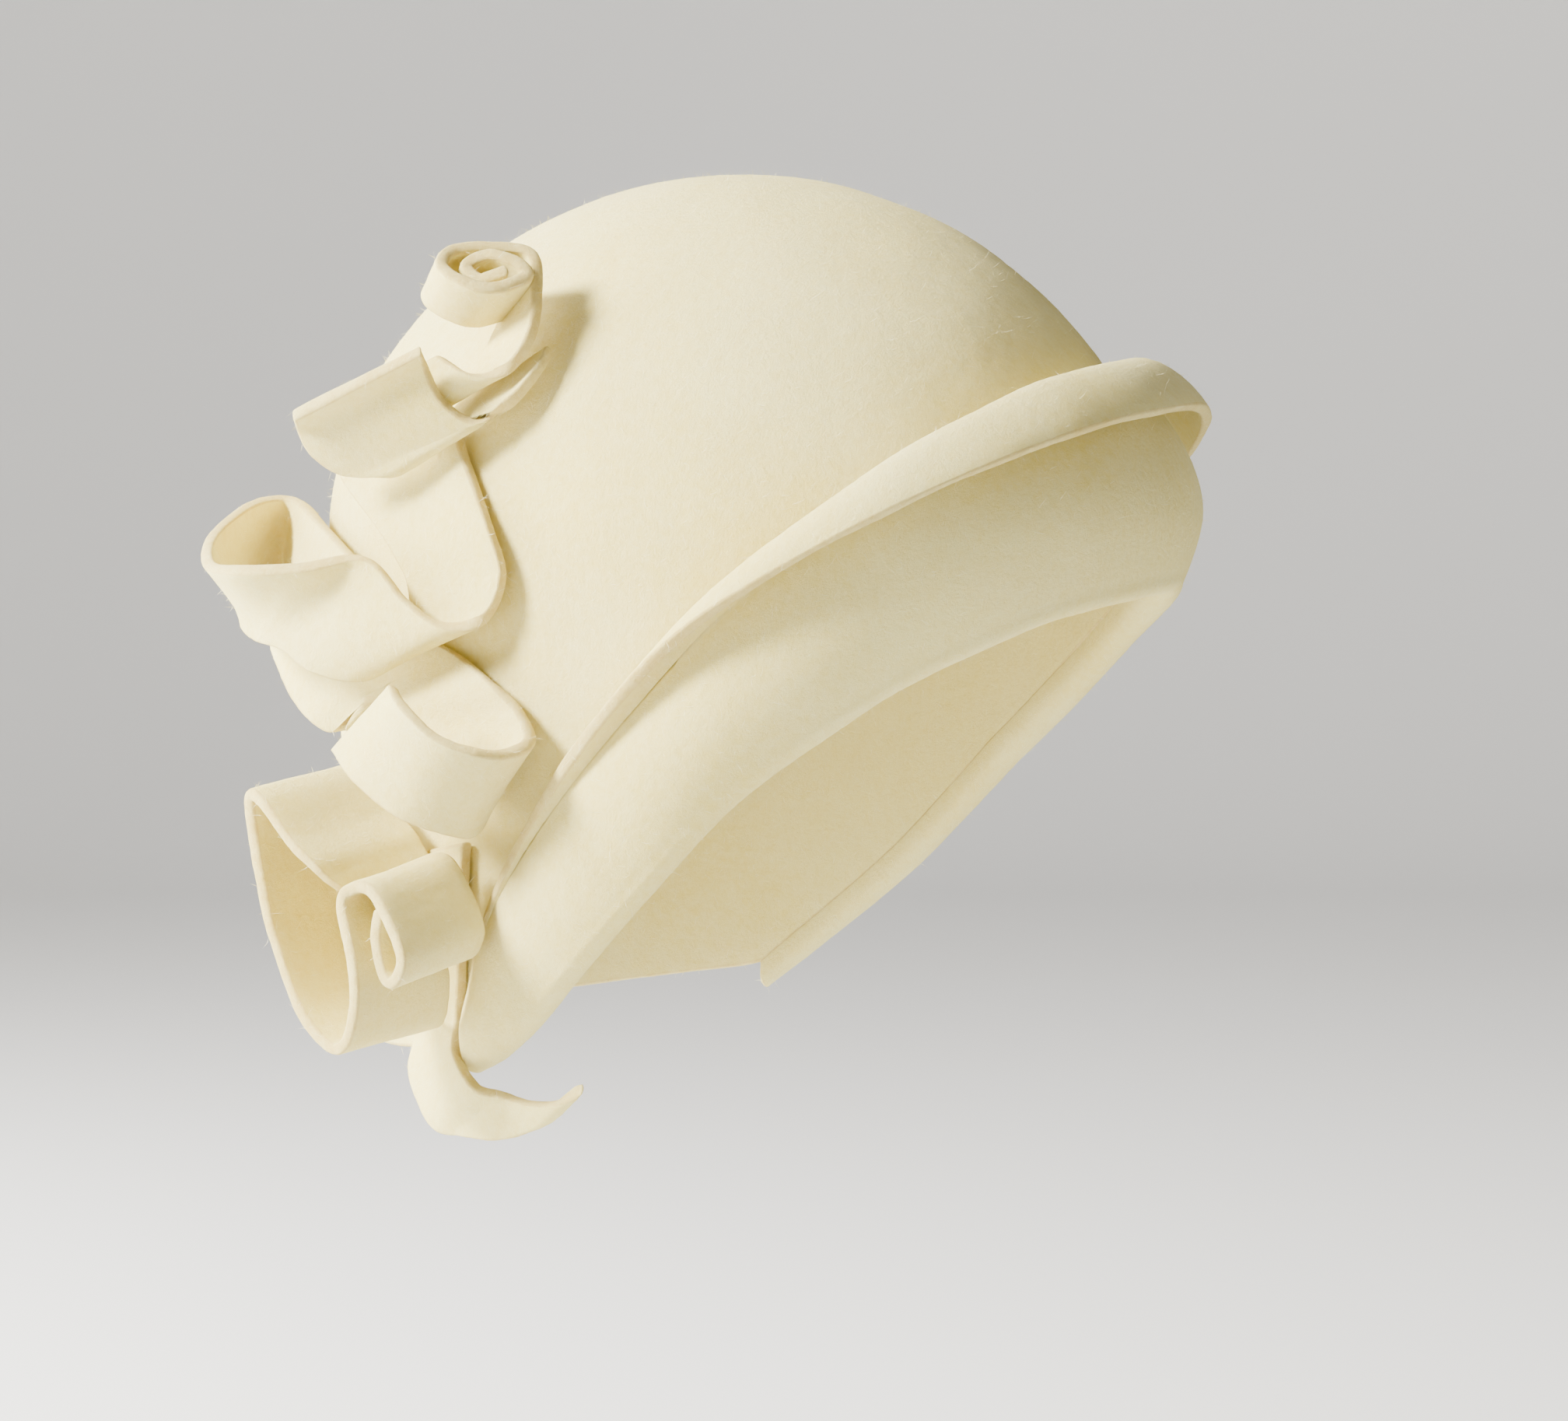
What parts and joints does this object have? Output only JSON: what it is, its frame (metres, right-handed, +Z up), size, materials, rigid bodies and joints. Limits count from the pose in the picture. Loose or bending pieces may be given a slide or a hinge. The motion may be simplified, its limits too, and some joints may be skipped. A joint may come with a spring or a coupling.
{
  "type": "cloche hat",
  "caption": "Cloche hat in cream wool felt with a turned-up cuff brim and curled felt ribbon loops down the wearer's right side.",
  "frame": {"origin": "centre of the head opening, level with the lowest part of the rim at the ears", "axes": "+Z up as worn, the forehead towards -Y, the wearer's right side towards -X"},
  "size_m": [0.2195, 0.219, 0.2052],
  "materials": {
    "felt": "matt cream wool felt",
    "ribbon_felt": "matt cream wool felt, cut edges"
  },
  "bodies": {
    "root": {"crown": "felt", "brim": "felt", "rosette": "ribbon_felt", "upper_fold": "ribbon_felt", "loops": "ribbon_felt", "lower_curl": "ribbon_felt", "tail": "ribbon_felt"}
  },
  "joints": []
}
